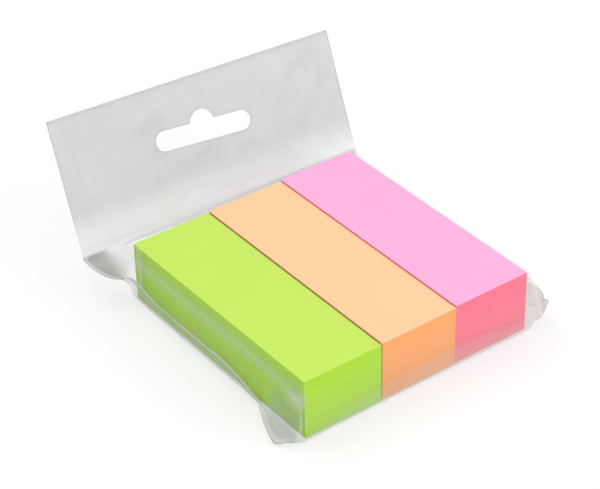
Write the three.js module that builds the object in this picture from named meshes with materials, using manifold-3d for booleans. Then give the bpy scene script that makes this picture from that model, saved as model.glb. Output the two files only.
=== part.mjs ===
// Three pads of sticky notes side by side in a clear film pouch.
// The pouch is one sheet of film: a flat bag, folded at the front and welded along
// both sides, whose two layers run on behind the pads as a hanging header with a
// slot. Millimetres, +Z up, +X across the pads, +Y from the front to the header.
// The origin is the centre of the flat underside that the pack rests on.

import * as THREE from 'three';
import { mergeVertices } from 'three/addons/utils/BufferGeometryUtils.js';
import Module from 'manifold-3d';

// Pads
const padWidth = 24.85;
const padLength = 76;
const padLean = 0.55;
const leftPadHeight = 18.4;
const middlePadHeight = 18.7;
const rightPadHeight = 19.1;
const leftGap = 0.9;
const rightGap = 0.35;
const middlePadSetback = 0.15;
const rightPadSetback = 0.3;
const sheetBlockHeight = 4.7;
const blockGrooveHeight = 0.25;
const blockGrooveDepth = 0.12;

// Film
const filmThickness = 0.25;
const filmSlack = 0.3;
const weldWidth = 1.2;
const innerWeldShare = 0.1;
const innerLip = 0.06;
const sideBulge = 0.5;
const sideSeamHeight = 5.5;
const backSeamHeight = 7.7;
const backRiseStart = 0.8;
const bodyDepths = [0, 3, 6, 9, 12, 15, 18, 22, 27, 34, 48, 60, 68];

// Front fold and the two corners that stand out past it. Behind the fold a corner's
// weld draws back to the pads over its run, and climbs between two shares of it.
const frontBulge = 0.9;
const foldHeight = 8.8;
const foldBow = 1.6;
const foldWall = 1.5;
const weldedReach = 0.92;
const cornerTaper = 1.35;
const climbStart = 0.6;
const climbEnd = 2;
const leftCorner = {
  reach: 7.2, tipHeight: 1.1, sweep: 3.4, rootHeight: 13, run: 17.5, foldEdgeHeight: 3.4,
};
const rightCorner = {
  reach: 7.8, tipHeight: 4.7, sweep: 0.6, rootHeight: 17.5, run: 15, foldEdgeHeight: 6.6,
};

// Neck, header and hanging slot
const neckLength = 10;
const neckShares = [0.1, 0.25, 0.45, 0.65, 0.84];
const pouchWidth = 96;
const headerHeight = 39.7;
const headerLean = THREE.MathUtils.degToRad(26.5);
const headerRoll = THREE.MathUtils.degToRad(2);
const headerShift = 0.6;
const headerLineHeight = 9.2;
const sealHeight = 2.5;
const sealPress = 0.6;
const sealEase = 0.2;
const slotWidth = 32;
const slotHeight = 5.8;
const slotCentreHeight = 23.3;
const slotOffset = -0.8;
const slotTilt = THREE.MathUtils.degToRad(3.3);
const humpRadius = 4;
const humpRise = 3.4;
const slotArcSteps = 14;
const mouthWidth = 62;
const mouthGap = 0.9;
const mouthShare = 0.6;
const mouthReach = 0.8;

// Worked out from the sizes above
const blockWidth = 3 * padWidth + leftGap + rightGap;
const padBottom = filmThickness + filmSlack;
const tallestPad = Math.max(leftPadHeight, middlePadHeight, rightPadHeight);
const deepestSetback = Math.max(middlePadSetback, rightPadSetback);
const wrap = filmThickness + filmSlack;
const halfWidth = blockWidth / 2 + wrap;
const frontY = -padLength / 2 - wrap;
const backY = padLength / 2 + deepestSetback + wrap;
const topZ = padBottom + tallestPad + filmSlack + filmThickness;
const rootClearance = 0.8;
const foldSteps = 18;

const wasm = await Module();
wasm.setup();

function toManifold(geometry) {
  const bare = geometry.clone();
  bare.deleteAttribute('normal');
  bare.deleteAttribute('uv');
  const merged = mergeVertices(bare, 1e-5);
  return new wasm.Manifold(new wasm.Mesh({
    numProp: 3,
    vertProperties: new Float32Array(merged.attributes.position.array),
    triVerts: new Uint32Array(merged.index.array),
  }));
}

function toGeometry(solid) {
  const mesh = solid.getMesh();
  const geometry = new THREE.BufferGeometry();
  const positions = new Float32Array(mesh.vertProperties);
  geometry.setAttribute('position', new THREE.BufferAttribute(positions, 3));
  geometry.setIndex(new THREE.BufferAttribute(new Uint32Array(mesh.triVerts), 1));
  geometry.computeVertexNormals();
  return geometry;
}

// Skins a row of rings of equal length. Each ring runs along one side and back
// along the other, so its ends are closed by zipping the two sides together.
function skinRings(rings) {
  const count = rings[0].length;
  const positions = rings.flat().flatMap((point) => [point.x, point.y, point.z]);
  const index = [];
  for (let r = 0; r + 1 < rings.length; r += 1) {
    for (let i = 0; i < count; i += 1) {
      const a = r * count + i;
      const b = r * count + (i + 1) % count;
      index.push(a, b, b + count, a, b + count, a + count);
    }
  }
  const last = (rings.length - 1) * count;
  for (let i = 0; i + 1 < count / 2; i += 1) {
    const across = count - 1 - i;
    index.push(i, across, across - 1, i, across - 1, i + 1);
    index.push(last + i, last + i + 1, last + across - 1, last + i, last + across - 1, last + across);
  }
  const geometry = new THREE.BufferGeometry();
  geometry.setAttribute('position', new THREE.Float32BufferAttribute(positions, 3));
  geometry.setIndex(index);
  return geometry;
}

// The stacks lean a little to the left: how far a point at height z stands over.
const leanAt = (z) => -padLean * (z - padBottom) / tallestPad;

// One pad: sheets stacked in glued blocks, with a fine groove where blocks meet.
function padGeometry(height) {
  const ring = (z, inset) => {
    const x = padWidth / 2 - inset;
    const y = padLength / 2 - inset;
    const over = leanAt(padBottom + z);
    return [[-x, -y], [x, -y], [x, y], [-x, y]].map(([px, py]) => new THREE.Vector3(px + over, py, z));
  };
  const rings = [ring(0, 0)];
  for (let z = sheetBlockHeight; z < height - sheetBlockHeight / 2; z += sheetBlockHeight) {
    rings.push(ring(z - blockGrooveHeight / 2, 0));
    rings.push(ring(z, blockGrooveDepth));
    rings.push(ring(z + blockGrooveHeight / 2, 0));
  }
  rings.push(ring(height, 0));
  return skinRings(rings);
}

// Places along the pouch's width: the weld's free edge and its root, halfway in,
// then evenly across the pads. side is -1 in the left half and 1 in the right half.
function widthPlaces() {
  const edge = (side) => [
    { side, x: side, out: 1, weld: 1 },
    { side, x: side, out: 1, weld: 0 },
    { side, x: side, out: 0.5, weld: 0 },
  ];
  const across = [];
  for (let i = 0; i <= foldSteps; i += 1) {
    const x = 2 * i / foldSteps - 1;
    across.push({ side: x < 0 ? -1 : 1, x, out: 0, weld: 0 });
  }
  return [...edge(-1), ...across, ...edge(1).reverse()];
}

const places = widthPlaces();
const cornerOf = (place) => (place.side < 0 ? leftCorner : rightCorner);
const ringOf = (upper, lower) => [...upper, ...lower.reverse()];

// The wall's outer face has skin 0, its inner face skin 1.
const insetOf = (skin) => skin * filmThickness;
const weldReach = (place, skin) => place.weld * weldWidth * (skin === 0 ? 1 : innerWeldShare);
const lipOf = (skin) => (skin === 0 ? filmThickness : innerLip);

// Height of the front fold, from the left corner's tip to the right corner's tip.
function frontFoldHeight(place) {
  const corner = cornerOf(place);
  if (place.out > 0) {
    return THREE.MathUtils.lerp(corner.foldEdgeHeight, corner.tipHeight, place.out);
  }
  const across = (place.x + 1) / 2;
  const ends = THREE.MathUtils.lerp(leftCorner.foldEdgeHeight, rightCorner.foldEdgeHeight, across);
  const middle = (leftCorner.foldEdgeHeight + rightCorner.foldEdgeHeight) / 2;
  return ends + (foldHeight - middle) * Math.sin(Math.PI * across);
}

function frontRing(skin) {
  const chain = (sign) => places.map((place) => {
    const corner = cornerOf(place);
    const edge = halfWidth - insetOf(skin);
    const x = place.side * (place.out * corner.reach + weldReach(place, skin)) + place.x * edge;
    const bow = (corner.sweep + frontBulge) * place.out ** foldBow;
    const y = frontY - frontBulge + bow + insetOf(skin) * foldWall;
    return new THREE.Vector3(x, y, frontFoldHeight(place) + sign * lipOf(skin));
  });
  return ringOf(chain(1), chain(-1));
}

// Seam of one side at a depth behind the front: how far out, how high, how swept.
function seamAt(corner, depth) {
  const along = Math.min(depth / corner.run, 1);
  const rise = THREE.MathUtils.smoothstep(depth, corner.run * climbStart, corner.run * climbEnd);
  const end = THREE.MathUtils.smoothstep(depth, (backY - frontY) * backRiseStart, backY - frontY);
  const side = THREE.MathUtils.lerp(sideSeamHeight, backSeamHeight, end);
  return {
    out: sideBulge + (corner.reach * weldedReach - sideBulge) * (1 - along ** cornerTaper),
    height: THREE.MathUtils.lerp(corner.tipHeight, side, rise),
    sweep: corner.sweep * (1 - along),
    root: THREE.MathUtils.lerp(corner.rootHeight, (side + topZ) / 2, along),
  };
}

function bodyRing(depth, skin) {
  const inset = insetOf(skin);
  const edge = halfWidth - inset;
  const y = frontY + depth + (depth === 0 ? inset : 0);
  const low = places.map((place) => {
    const seam = seamAt(cornerOf(place), depth);
    const x = place.x * edge + place.side * (place.out * seam.out + weldReach(place, skin));
    const z = THREE.MathUtils.lerp(inset, seam.height - lipOf(skin), place.out);
    return new THREE.Vector3(x, y + place.out * seam.sweep, z);
  });
  const high = places.map((place) => {
    const seam = seamAt(cornerOf(place), depth);
    if (place.out === 0.5) {
      const z = Math.min(seam.root, topZ - rootClearance);
      return new THREE.Vector3(place.x * edge + leanAt(z), y, z);
    }
    const z = place.out === 0 ? topZ - inset : seam.height + lipOf(skin);
    const over = place.out === 0 ? leanAt(z) : 0;
    const x = place.x * edge + over + place.side * (place.out * seam.out + weldReach(place, skin));
    return new THREE.Vector3(x, y + place.out * seam.sweep, z);
  });
  return ringOf(high, low);
}

// The header's own frame: its origin is the middle of its lower line.
const headerFrame = new THREE.Matrix4()
  .makeTranslation(headerShift, backY + neckLength, headerLineHeight)
  .multiply(new THREE.Matrix4().makeRotationX(-headerLean))
  .multiply(new THREE.Matrix4().makeRotationY(headerRoll));

function headerRing(height, skin, press = 1) {
  const chain = (sign) => places.map((place) => {
    const flap = (pouchWidth / 2 - weldWidth - halfWidth) * place.out + weldReach(place, skin);
    const x = place.x * halfWidth + place.side * flap;
    const y = sign * (skin === 0 ? filmThickness * press : innerLip);
    return new THREE.Vector3(x, y, height).applyMatrix4(headerFrame);
  });
  return ringOf(chain(-1), chain(1));
}

// Between the pads' back and the header the side film folds in, so the welds
// swing out on an arc while the two layers close on each other.
function neckRing(share, skin) {
  const from = bodyRing(backY - frontY, skin);
  const to = headerRing(0, skin);
  const ringPlaces = ringOf(places.slice(), places.slice());
  return from.map((point, i) => {
    const place = ringPlaces[i];
    const result = point.clone().lerp(to[i], share);
    if (place.out === 1) {
      result.x = THREE.MathUtils.lerp(point.x, to[i].x, Math.sqrt(1 - (1 - share) ** 2));
    }
    return result;
  });
}

function pouchRings(skin) {
  return [
    frontRing(skin),
    ...bodyDepths.map((depth) => bodyRing(depth, skin)),
    bodyRing(backY - frontY, skin),
    ...neckShares.map((share) => neckRing(share, skin)),
  ];
}

// The filling mouth: a slit across the lower layer of the neck, under the header.
function mouthGeometry() {
  const count = places.length;
  const shares = [mouthShare, mouthShare + mouthGap / neckLength];
  const [near, far] = shares.map((share) => neckRing(share, 0).slice(count).reverse());
  const inside = places.map((place, i) => i).filter((i) => {
    return places[i].out === 0 && Math.abs(near[i].x) < mouthWidth / 2;
  });
  const rings = inside.map((i) => [
    near[i].clone().add(new THREE.Vector3(0, mouthReach, -mouthReach)),
    far[i].clone().add(new THREE.Vector3(0, mouthReach, -mouthReach)),
    far[i].clone().add(new THREE.Vector3(0, -mouthReach, mouthReach)),
    near[i].clone().add(new THREE.Vector3(0, -mouthReach, mouthReach)),
  ]);
  return skinRings(rings);
}

// Hanging slot: two round-ended wings with a raised middle for a single hook.
function slotGeometry() {
  const end = slotHeight / 2;
  const straight = slotWidth / 2 - end;
  const humpCentre = end + humpRise - humpRadius;
  const humpFoot = Math.sqrt(humpRadius ** 2 - (end - humpCentre) ** 2);
  const footAngle = Math.atan2(end - humpCentre, humpFoot);
  const outline = new THREE.Shape();
  outline.moveTo(-straight, -end);
  outline.lineTo(straight, -end);
  outline.absarc(straight, 0, end, -Math.PI / 2, Math.PI / 2, false);
  outline.lineTo(humpFoot, end);
  outline.absarc(0, humpCentre, humpRadius, footAngle, Math.PI - footAngle, false);
  outline.lineTo(-straight, end);
  outline.absarc(-straight, 0, end, Math.PI / 2, 3 * Math.PI / 2, false);
  const depth = 8 * filmThickness;
  const geometry = new THREE.ExtrudeGeometry(outline, {
    depth, bevelEnabled: false, curveSegments: slotArcSteps,
  });
  geometry.rotateZ(-slotTilt);
  geometry.translate(slotOffset, slotCentreHeight, -depth / 2);
  geometry.rotateX(Math.PI / 2);
  return geometry.applyMatrix4(headerFrame);
}

function pouchGeometry() {
  const header = [
    headerRing(0, 0),
    headerRing(sealHeight * sealEase, 0, sealPress),
    headerRing(sealHeight, 0, sealPress),
    headerRing(sealHeight * (1 + sealEase), 0),
    headerRing(headerHeight, 0),
  ];
  const outside = toManifold(skinRings([...pouchRings(0), ...header]));
  const inside = toManifold(skinRings(pouchRings(1)));
  const mouth = toManifold(mouthGeometry());
  const slot = toManifold(slotGeometry());
  return toGeometry(outside.subtract(inside).subtract(mouth).subtract(slot));
}

function paper(color) {
  return new THREE.MeshStandardMaterial({ color, roughness: 0.85, metalness: 0 });
}

function clearFilm() {
  return new THREE.MeshStandardMaterial({
    color: 0xe6e8e4, roughness: 0.12, metalness: 0, transparent: true, opacity: 0.35,
  });
}

function namedMesh(name, geometry, material) {
  const mesh = new THREE.Mesh(geometry, material);
  mesh.name = name;
  return mesh;
}

const pads = [
  { name: 'pad_green', height: leftPadHeight, gap: 0, setback: 0, color: 0xc6ef5e },
  { name: 'pad_orange', height: middlePadHeight, gap: leftGap, setback: middlePadSetback, color: 0xffcf9e },
  { name: 'pad_pink', height: rightPadHeight, gap: rightGap, setback: rightPadSetback, color: 0xffb3e0 },
];

const pack = new THREE.Group();
let nextX = -blockWidth / 2;
for (const pad of pads) {
  nextX += pad.gap;
  const mesh = namedMesh(pad.name, padGeometry(pad.height), paper(pad.color));
  mesh.position.set(nextX + padWidth / 2, pad.setback, padBottom);
  pack.add(mesh);
  nextX += padWidth;
}
pack.add(namedMesh('film_pouch', pouchGeometry(), clearFilm()));

export default pack;
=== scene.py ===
"""Looks of a pack of sticky notes: three pads of paper in a clear film pouch with a hanging header."""

import math

import bpy
import numpy as np
from bpy.props import FloatProperty, FloatVectorProperty, IntProperty, PointerProperty
from bpy.types import Operator, Panel, PropertyGroup
from mathutils import Matrix, Vector, noise
from mathutils.geometry import delaunay_2d_cdt


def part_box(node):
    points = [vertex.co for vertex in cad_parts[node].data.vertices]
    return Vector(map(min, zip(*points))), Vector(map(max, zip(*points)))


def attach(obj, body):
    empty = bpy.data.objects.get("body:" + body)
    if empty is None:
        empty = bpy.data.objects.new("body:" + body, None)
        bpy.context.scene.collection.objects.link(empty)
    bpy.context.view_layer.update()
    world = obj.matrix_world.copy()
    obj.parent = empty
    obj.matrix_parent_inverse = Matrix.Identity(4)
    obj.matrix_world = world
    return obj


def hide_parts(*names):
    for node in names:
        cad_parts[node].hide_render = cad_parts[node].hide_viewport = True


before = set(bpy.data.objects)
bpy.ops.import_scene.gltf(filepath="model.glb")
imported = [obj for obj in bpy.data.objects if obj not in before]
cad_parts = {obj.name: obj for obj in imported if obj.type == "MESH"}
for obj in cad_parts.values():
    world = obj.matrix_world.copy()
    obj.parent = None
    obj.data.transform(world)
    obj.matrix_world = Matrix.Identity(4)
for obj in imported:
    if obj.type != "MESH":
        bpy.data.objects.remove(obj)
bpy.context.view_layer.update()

bl_info = {
    "name": "Sticky Note Pack",
    "version": (1, 0, 0),
    "blender": (4, 5, 0),
    "location": "3D View > Sidebar > Notes",
    "description": "Dresses three pads of sticky notes and their clear pouch",
    "category": "Object",
}

MM = 0.001

# The pads, in millimetres
PAD_LEAN = 0.55
PAD_NODES = ("pad_green", "pad_orange", "pad_pink")

# How much of the gap beside a pad its loose sheets take up, and how far along X each pad
# has slid towards its neighbour, in millimetres
SPREAD = 0.12
SLIDES = {"pad_green": 0.1, "pad_orange": -0.2, "pad_pink": -0.25}

# How the sheets of a pad lie: a sheet's share of its pitch, how quickly and how far the pad's
# sides wander next to the scatter, and the scatters by which the sheets are cut smaller
SHEET_SHARE = 0.97
DRIFT_STEP = 0.055
DRIFT_REACH = 7.0
SLACK_SCATTERS = 4.0

# Paper: noise scales of its fibres and blotches, and of the fine lines and the bands on a
# pad's sides, with the darkest and lightest tone that each of them makes
FIBRE_SCALE = 2600.0
FIBRE_TONES = (0.965, 1.03)
BLOTCH_SCALE = 45.0
BLOTCH_TONES = (0.97, 1.03)
LINE_SCALES = (8, 8, 1600)
LINE_TONES = (0.84, 1.10)
BAND_SCALES = (6, 6, 260)
BAND_TONES = (0.88, 1.10)
FACE_SLOPE = 0.6
PAPER_ROUGHNESS = 0.82
PAPER_SPECULAR = 0.25
GRAIN_STRENGTH = 0.12
GRAIN_DEPTH = 0.04 * MM

# Film: noise scales of its clouds, streaks and fine bumps, and how far clouds and streaks
# change its tone and its haze
CLOUD_SCALE = 60.0
CLOUD_TONES = (0.93, 1.05)
CLOUD_HAZES = (0.85, 1.15)
STREAK_SCALES = (300, 60, 60)
STREAK_HAZES = (0.92, 1.08)
FILM_ROUGHNESS = 0.14
FILM_IOR = 1.49
BUMP_SCALE = 220.0
BUMP_STRENGTH = 0.25
BUMP_DEPTH = 0.1 * MM
NOISE_ROUGHNESS = 0.55

# Sockets of a mix node that are for colours
MIX_FACTOR, MIX_FIRST, MIX_SECOND, MIX_RESULT = 0, 6, 7, 2

# The pouch, in millimetres. Its front corners hang looser than those of the solid pouch.
WRAP = 0.55
WELD_WIDTH = 1.2
TIP_WELD_WIDTH = 0.3
SIDE_BULGE = 0.5
SIDE_SEAM_HEIGHT = 5.5
BACK_SEAM_HEIGHT = 7.7
FRONT_BULGE = 0.9
FOLD_HEIGHT = 8.8
LEFT_CORNER = {
    "reach": 7.2, "tip": 1.1, "sweep": 1.3, "root": 13.0, "run": 17.5, "fold": 3.4, "sag": 0.5}
RIGHT_CORNER = {
    "reach": 9.8, "tip": 4.7, "sweep": 0.6, "root": 17.5, "run": 15.0, "fold": 5.4, "sag": 1.6}
NECK_LENGTH = 10.0
POUCH_WIDTH = 96.0
HEADER_HEIGHT = 39.7
HEADER_LEAN = math.radians(26.5)
HEADER_ROLL = math.radians(2.0)
HEADER_SHIFT = 0.6
HEADER_LINE_HEIGHT = 9.2
SEAL_HEIGHT = 2.5
SLOT_WIDTH = 32.0
SLOT_HEIGHT = 5.8
SLOT_CENTRE_HEIGHT = 23.3
SLOT_OFFSET = -0.8
SLOT_TILT = math.radians(3.3)
HUMP_RADIUS = 4.0
HUMP_RISE = 3.4
TIP_ROUNDING = 2.7
TIP_BULGE = 0.7
CORNER_BULGE = 0.8
PUFF = 1.2
FLARE_WIDTH = 1.8
FLARE_LENGTH = 16.0
MOUTH_WIDTH = 62.0
MOUTH_SHARES = (0.6, 0.69)

# Course of the film on the front and the sides. The root is where the film leaves the pads, as
# a share of the way out to the weld. The lip is the share of its thickness by which a layer
# stays off the weld's middle. The weld climbs between two shares of a corner's run and rises
# again from a share of the depth. Powers shape the corners' taper and their swept edge.
ROOT_SHARE = 0.5
LIP_SHARE = 0.75
CLIMB_START = 0.6
CLIMB_END = 2.0
BACK_RISE_START = 0.8
WELDED_REACH = 0.92
CORNER_TAPER = 1.35
SWEEP_BOW = 1.6
CORNER_BULGE_WIDTH = 0.13
FLARE_DROP = 1.0
ROOT_DROP = 0.8

# Softening: the weights of a point and of each neighbour, and the shares of the way out and
# the depths behind the front, in millimetres, between which the loose corners begin and end
POINT_WEIGHT = 0.4
NEIGHBOUR_WEIGHT = 0.15
SOFT_SHARES = (0.35, 0.7)
SOFT_DEPTHS = (10.0, 20.0)

# Dents: sizes in millimetres, seeds, and heights next to the crinkle, broad ones before fine ones
BROAD_DENT = 11.0
BROAD_SEED = 3.7
FINE_DENT = 3.6
FINE_SEED = 11.2
BODY_DENTS = (0.9, 0.35)
HEADER_DENTS = (2.2, 0.5)
HEADER_DENT_START = 0.15
SNUG_DENTS = 0.25
FRONT_DENTS = 0.15
WELD_STIFFNESS = 0.7
WELD_STIFF_FROM = 0.6
PLEATS = 0.7
PLEAT_DEPTH = 18
PLEAT_WAVE = 9.0
PLEAT_SLANT = 0.35
PUFF_DEPTHS = (3.0, 15.0)
CREASE_RISE = 1.8
CREASE_WIDTH = 0.9
CREASE_FROM_BACK = 4.5
GATHERS = 0.6
GATHER_WAVE = 0.55
GATHER_DRIFT = 2.0

# Haze of the film, from 0, clear, to 1, solid, and how pale its milky tint is, by place. Values
# below 0 take some off. Some entries also paint light: a highlight on the corners' root line, a
# glint on the welds, strongest on the rear left one, shade on the shoulders beside the neck, and,
# over the film's own haze, a reflection of the white floor on the lower film and the front's foot.
HAZE_AND_PAINTED_LIGHT = {
    "top": 0.03, "bottom": 0.10, "side": 0.05, "lower side": 0.22, "corner": 0.27, "front": 0.02,
    "front foot": 0.07, "lower front": 0.09, "lower front top": 0.12, "corner root highlight": 0.22,
    "back crease": 0.16, "neck": 0.03, "gusset_haze_and_shade": 0.33, "neck fold": 0.02, "header": 0.195,
    "header foot": -0.125, "seal": 0.02, "weld": 0.05, "rear left weld glint": 0.08}
# The weld's pale entry paints a glint along the welds.
MILK_AND_PAINTED_LIGHT = {"corner": -0.75, "neck": 0.45, "header foot": 0.6, "weld": 0.9}

# Bands of haze on the sides: height as a share of the film's, width in millimetres, haze
SIDE_BANDS = ((0.70, 2.6, 0.13), (0.36, 1.2, 0.04))

# Where the haze changes: widths of its ridges, and from where to where it fades. The ridge on
# the corners' root line is a painted highlight, and past the rear weld depth the left weld gets
# a painted glint.
HAZY_CORNER_SHARES = (0.45, 0.8)
HAZY_CORNER_DEPTHS = (9.0, 18.0)
ROOT_HIGHLIGHT_WIDTH = 0.08
ROOT_HIGHLIGHT_DEPTHS = (3.0, 9.0)
CREASE_HAZE_WIDTH = 1.0
GUSSET_REACH = (-1, 5)
NECK_FOLD_WIDTH = 0.12
SEAL_WIDTH = 0.7
HEADER_FOOT_HEIGHTS = (1.0, 15.0)
REAR_GLINT_DEPTH = 20

# How finely the film is divided
WELD_STEPS = 3
SIDE_STEPS = 8
ACROSS_STEPS = 84
FRONT_ROWS = 14
BODY_ROWS = 84
NECK_ROWS = 16
HEADER_ROWS = 32
ROUNDING_PASSES = 2
EAR_PASSES = 14
NORMAL_PASSES = 8
EDGE_TAPER = 6
WING_STEPS = 18
HUMP_STEPS = 24

# The slot's patch: least squared distance of a grid point from the slot's edge, in cells, and
# how close two places count as one
EDGE_CLEARANCE = 0.1
CUT_TOLERANCE = 1e-6
SAME_PLACE = 1e-4

# The photograph's camera
VIEW_AZIMUTH = math.radians(-37.80)
VIEW_ELEVATION = math.radians(34.92)
VIEW_ROLL = math.radians(0.28)
VIEW_DISTANCE = 610.95 * MM
VIEW_TARGET = Vector((14.15, 31.69, 0.0)) * MM
VIEW_FOCAL_PIXELS = 2121.4
VIEW_CLIP = (0.01, 20.0)
PICTURE_WIDTH = 600
SENSOR_WIDTH = 36.0

# The lamps, in metres: where each stands, what it aims at and its two sides
TOP_LAMP = {"place": (-0.12, 0.30, 0.62), "aim": (0, 0.01, 0.01), "size": (0.55, 0.45)}
FRONT_LAMP = {"place": (0.30, -0.55, 0.32), "aim": (0, 0, 0.01), "size": (0.45, 0.35)}

# The floor: its colour for the light on the object and for the eye, and its glow, which rises
# between two distances from the object, in metres
FLOOR_COLOUR = (0.82, 0.82, 0.82)
SEEN_FLOOR_COLOUR = (0.42, 0.42, 0.43)
GLOW_DISTANCES = (0.12, 0.7)
GLOW_STRENGTHS = (0.58, 0.80)


class PadSettings(PropertyGroup):
    """Sizes and colours of the three pads."""

    sheet_pitch: FloatProperty(
        name="Sheet pitch", description="Height that one sheet adds to its stack",
        default=0.0001, min=0.00005, unit="LENGTH", precision=5)
    scatter: FloatProperty(
        name="Scatter", description="How far a sheet's edge may stand out of its stack",
        default=0.00003, min=0.0, unit="LENGTH", precision=5)
    seed: IntProperty(name="Seed", description="Number that fixes the scatter", default=4)
    green_face: FloatVectorProperty(
        name="Green face", description="Face of the green sheets", subtype="COLOR",
        size=3, min=0.0, max=1.0, default=(0.575, 0.83, 0.088))
    green_edge: FloatVectorProperty(
        name="Green edges", description="Stacked edges of the green sheets", subtype="COLOR",
        size=3, min=0.0, max=1.0, default=(0.45, 0.78, 0.012))
    orange_face: FloatVectorProperty(
        name="Orange face", description="Face of the orange sheets", subtype="COLOR",
        size=3, min=0.0, max=1.0, default=(1.0, 0.625, 0.335))
    orange_edge: FloatVectorProperty(
        name="Orange edges", description="Stacked edges of the orange sheets", subtype="COLOR",
        size=3, min=0.0, max=1.0, default=(1.0, 0.42, 0.13))
    pink_face: FloatVectorProperty(
        name="Pink face", description="Face of the pink sheets", subtype="COLOR",
        size=3, min=0.0, max=1.0, default=(1.0, 0.44, 0.735))
    pink_edge: FloatVectorProperty(
        name="Pink edges", description="Stacked edges of the pink sheets", subtype="COLOR",
        size=3, min=0.0, max=1.0, default=(1.0, 0.18, 0.27))


class PouchSettings(PropertyGroup):
    """Sizes and colour of the clear pouch."""

    film_thickness: FloatProperty(
        name="Film thickness", description="Thickness of one layer of film",
        default=0.00006, min=0.00002, unit="LENGTH", precision=5)
    crinkle: FloatProperty(
        name="Crinkle", description="Height of the film's soft dents",
        default=0.00022, min=0.0, unit="LENGTH", precision=5)
    film_tint: FloatVectorProperty(
        name="Film tint", description="Colour of the film's haze", subtype="COLOR",
        size=3, min=0.0, max=1.0, default=(0.43, 0.44, 0.42))
    # The pale tint also colours the painted highlight on the corners' root line, the painted glint on
    # the welds and the painted reflection of the floor on the lower film.
    milk_and_sheen_tint: FloatVectorProperty(
        name="Milky tint", description="Colour of the film where it lies on the pads", subtype="COLOR",
        size=3, min=0.0, max=1.0, default=(0.82, 0.83, 0.79))
    # This also scales the painted highlight, glint, shade and floor reflection in the film.
    haze_and_painted_light_scale: FloatProperty(
        name="Haze", description="Multiplies how milky the film is", default=1.0, min=0.0)


class StageSettings(PropertyGroup):
    """Floor and lamps."""

    floor_size: FloatProperty(
        name="Floor size", description="Side of the square floor", default=6.0, unit="LENGTH")
    top_power: FloatProperty(
        name="Top lamp", description="Power of the soft lamp above", default=1.45, unit="POWER")
    front_power: FloatProperty(
        name="Front lamp", description="Power of the soft lamp in front", default=1.75, unit="POWER")
    sky: FloatProperty(
        name="Sky", description="Strength of the even light all round", default=0.69, min=0.0)


def link(tree, source, target):
    tree.links.new(source, target)


def add_node(tree, kind, place=(0, 0), **values):
    node = tree.nodes.new(kind)
    node.location = place
    for name, value in values.items():
        setattr(node, name, value)
    return node


def set_inputs(node, **values):
    for name, value in values.items():
        node.inputs[name.replace("_", " ")].default_value = value


def new_material(name):
    """A material with its tree, its Principled shader and its Object coordinates."""
    material = bpy.data.materials.new(name)
    material.use_nodes = True
    tree = material.node_tree
    shader = tree.nodes["Principled BSDF"]
    coordinates = add_node(tree, "ShaderNodeTexCoord", (-1200, 0))
    return material, tree, shader, coordinates.outputs["Object"]


def stretched(tree, vector, scale, place):
    """The coordinates scaled by a different amount along each axis."""
    mapping = add_node(tree, "ShaderNodeMapping", place)
    mapping.inputs["Scale"].default_value = scale
    link(tree, vector, mapping.inputs["Vector"])
    return mapping.outputs["Vector"]


def noise_of(tree, vector, scale, detail, place):
    node = add_node(tree, "ShaderNodeTexNoise", place)
    set_inputs(node, Scale=scale, Detail=detail, Roughness=NOISE_ROUGHNESS)
    link(tree, vector, node.inputs["Vector"])
    return node.outputs["Fac"]


def remap(tree, value, span, place):
    """The value, taken from 0..1 to the span."""
    node = add_node(tree, "ShaderNodeMapRange", place)
    set_inputs(node, To_Min=span[0], To_Max=span[1])
    link(tree, value, node.inputs["Value"])
    return node.outputs["Result"]


def feed(tree, socket, value):
    """Sets a socket to a plain value, or links another node's output to it."""
    if isinstance(value, (int, float, tuple)):
        socket.default_value = value
    else:
        link(tree, value, socket)


def math_of(tree, operation, first, second, place):
    node = add_node(tree, "ShaderNodeMath", place, operation=operation)
    feed(tree, node.inputs[0], first)
    feed(tree, node.inputs[1], second)
    return node.outputs["Value"]


def vector_of(tree, operation, first, second, place):
    node = add_node(tree, "ShaderNodeVectorMath", place, operation=operation)
    feed(tree, node.inputs[0], first)
    feed(tree, node.inputs["Scale" if operation == "SCALE" else 1], second)
    return node.outputs["Vector"]


def combined(tree, place, **parts):
    """A vector of the values given for X, Y and Z."""
    node = add_node(tree, "ShaderNodeCombineXYZ", place)
    for axis, value in parts.items():
        feed(tree, node.inputs[axis], value)
    return node.outputs["Vector"]


def mix_colours(tree, factor, first, second, place, blend="MIX"):
    node = add_node(tree, "ShaderNodeMix", place, data_type="RGBA", blend_type=blend)
    feed(tree, node.inputs[MIX_FACTOR], factor)
    feed(tree, node.inputs[MIX_FIRST], first)
    feed(tree, node.inputs[MIX_SECOND], second)
    return node.outputs[MIX_RESULT]


def bump(tree, height, strength, distance, shader, place):
    node = add_node(tree, "ShaderNodeBump", place)
    set_inputs(node, Strength=strength, Distance=distance)
    link(tree, height, node.inputs["Height"])
    link(tree, node.outputs["Normal"], shader.inputs["Normal"])


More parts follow.
